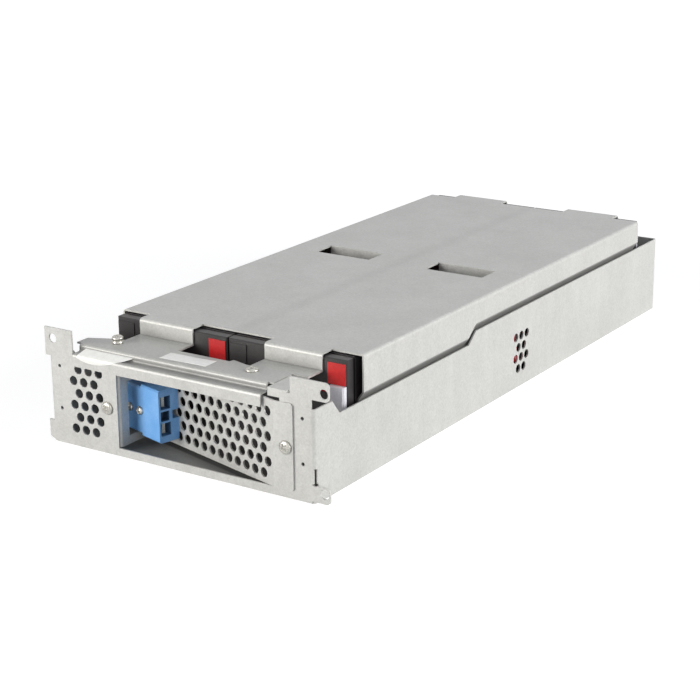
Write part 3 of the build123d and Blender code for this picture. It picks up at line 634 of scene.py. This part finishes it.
def paint_cartridge():
    """Finishes of the CAD nodes."""
    names = sorted(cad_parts)
    paint_nodes(galvanised_steel("galvanised_steel"), ["connector_bracket"])
    # The tray's steel has painted shade on the floor of the recess and behind it
    tray_steel = galvanised_steel("galvanised_steel_tray_painted_shade", tray_painted_shade)
    paint_nodes(tray_steel, ["tray"])
    # The cover's steel has painted shade in the joggle, on the ledge and on the shelf
    cover_steel = galvanised_steel("galvanised_steel_cover_painted_shade", cover_painted_shade)
    paint_nodes(cover_steel, ["battery_cover"])
    paint_nodes(
        moulded_plastic("black_abs_case", "#1e1b1c", "#2f2c2d", 0.42, 0.8, 0.05),
        [name for name in names if name.startswith("battery_") and name != "battery_cover"],
    )
    paint_nodes(
        moulded_plastic("red_epoxy_seal", "#b8141a", "#d0201f", 0.38, 1.2, 0.05),
        [name for name in names if name.startswith("positive_seal")],
    )
    paint_nodes(
        moulded_plastic("natural_nylon", "#dddce4", "#efeef4", 0.4, 1.0, 0.03),
        [name for name in names if "_sleeve_" in name],
    )
    blue = moulded_plastic("blue_polycarbonate", "#68a6e6", "#86baf2", 0.36, 0.7, 0.03, 9.0)
    paint_nodes(blue, ["connector_housing"])
    make_housing(blue)
    silver = bright_plate("silver_plated_copper", "#a3a9ad", "#d3d8db")
    paint_nodes(silver, ["positive_contact", "negative_contact"])


def aim(place, target):
    """Rotation that points a lamp's axis from a place at a target."""
    return (Vector(target) - Vector(place)).to_track_quat("-Z", "Y").to_euler()


def make_lamp(name, place, target, size, watts, colour):
    """A square soft light."""
    data = bpy.data.lights.new(name, "AREA")
    data.color = linear(colour)[:3]
    data.shape = "SQUARE"
    data.size = size
    data.energy = watts
    lamp = bpy.data.objects.new(name, data)
    lamp.location = place
    lamp.rotation_euler = aim(place, target)
    bpy.context.collection.objects.link(lamp)


def background_ray(tree):
    """1 for the rays that should see the white background: camera, mirror and glass rays."""
    rays = add(tree, "ShaderNodeLightPath").outputs
    seen = rays["Is Camera Ray"]
    for other in ("Is Glossy Ray", "Is Transmission Ray"):
        seen = add(tree, "ShaderNodeMath", {0: seen, 1: rays[other]}, operation="MAXIMUM").outputs[0]
    return seen


def make_world():
    """An even pale sky: white to the eye and in reflections, and a modest fill for the shading."""
    fill = 0.26
    world = bpy.data.worlds.new("studio")
    bpy.context.scene.world = world
    world.use_nodes = True
    tree = world.node_tree
    tree.nodes.clear()
    soft = add(tree, "ShaderNodeBackground", {"Color": linear("#edf3ff"), "Strength": fill})
    white = add(tree, "ShaderNodeBackground", {"Color": (1, 1, 1, 1), "Strength": 1.0})
    mix = add(tree, "ShaderNodeMixShader", {
        0: background_ray(tree), 1: soft.outputs[0], 2: white.outputs[0],
    })
    add(tree, "ShaderNodeOutputWorld", {"Surface": mix.outputs[0]})


def make_floor():
    """A wide white table that keeps a light shadow of the cartridge and is plain white further off."""
    size = 12.0
    near, far = 0.4, 1.0
    mesh = bpy.data.meshes.new("table")
    corners = [(-size, -size, 0), (size, -size, 0), (size, size, 0), (-size, size, 0)]
    mesh.from_pydata(corners, [], [(0, 1, 2, 3)])
    floor = bpy.data.objects.new("table", mesh)
    bpy.context.collection.objects.link(floor)
    material = bpy.data.materials.new("white_table")
    material.use_nodes = True
    tree = material.node_tree
    tree.nodes.clear()
    matt = add(tree, "ShaderNodeBsdfDiffuse", {"Color": (0.4, 0.4, 0.4, 1)})
    place = add(tree, "ShaderNodeTexCoord").outputs["Object"]
    distance = add(tree, "ShaderNodeVectorMath", {0: place}, operation="LENGTH").outputs["Value"]
    strength = add(tree, "ShaderNodeMapRange", {
        "Value": distance, "From Min": near, "From Max": far, "To Min": 0.78, "To Max": 1.0,
    })
    glow = add(tree, "ShaderNodeEmission", {
        "Color": (1, 1, 1, 1), "Strength": strength.outputs["Result"],
    })
    dark = add(tree, "ShaderNodeEmission", {"Color": (0, 0, 0, 1), "Strength": 0.0})
    lift = add(tree, "ShaderNodeMixShader", {
        0: background_ray(tree), 1: dark.outputs[0], 2: glow.outputs[0],
    })
    both = add(tree, "ShaderNodeAddShader", {0: matt.outputs[0], 1: lift.outputs[0]})
    add(tree, "ShaderNodeOutputMaterial", {"Surface": both.outputs[0]})
    mesh.materials.append(material)


def make_lights():
    """Big, low soft lamps in front and to the right, which leave the top darker than the sides."""
    target = (0.0, -0.05, 0.03)
    make_lamp("right_softbox", (1.9, 0.4, 0.5), target, 1.3, 44.0, "#fffefb")
    make_lamp("front_softbox", (-0.9, -1.9, 0.5), target, 1.2, 38.0, "#fffcf6")
    make_lamp("corner_softbox", (1.5, -1.5, 0.55), target, 1.2, 5.0, "#fffefb")
    make_lamp("top_softbox", (0.1, 0.4, 2.3), target, 1.6, 2.0, "#eaf1ff")


def make_camera():
    """The photograph's camera: forward from yaw and pitch, then rolled about its axis."""
    yaw, pitch, roll = (math.radians(v) for v in (CAMERA_YAW, CAMERA_PITCH, CAMERA_ROLL))
    forward = Vector((math.sin(yaw) * math.cos(pitch), math.cos(yaw) * math.cos(pitch), -math.sin(pitch)))
    level = Vector((math.cos(yaw), -math.sin(yaw), 0.0))
    up = level.cross(forward)
    right = level * math.cos(roll) + up * math.sin(roll)
    top = up * math.cos(roll) - level * math.sin(roll)
    data = bpy.data.cameras.new("camera")
    data.lens = CAMERA_LENS
    data.sensor_width = 36.0
    data.clip_start = 0.05
    camera = bpy.data.objects.new("camera", data)
    turn = Matrix((right, top, -forward)).transposed().to_4x4()
    camera.matrix_world = Matrix.Translation(at(*CAMERA_PLACE)) @ turn
    bpy.context.collection.objects.link(camera)
    bpy.context.scene.camera = camera


paint_cartridge()
make_screws(bright_plate("zinc_plated_steel", "#94938d", "#cfcdc6"))
label = vinyl_label()
make_shelf_label(label)
make_strip_label(label)
make_leads()
make_world()
make_floor()
make_lights()
make_camera()
bpy.context.scene.view_settings.view_transform = "Standard"
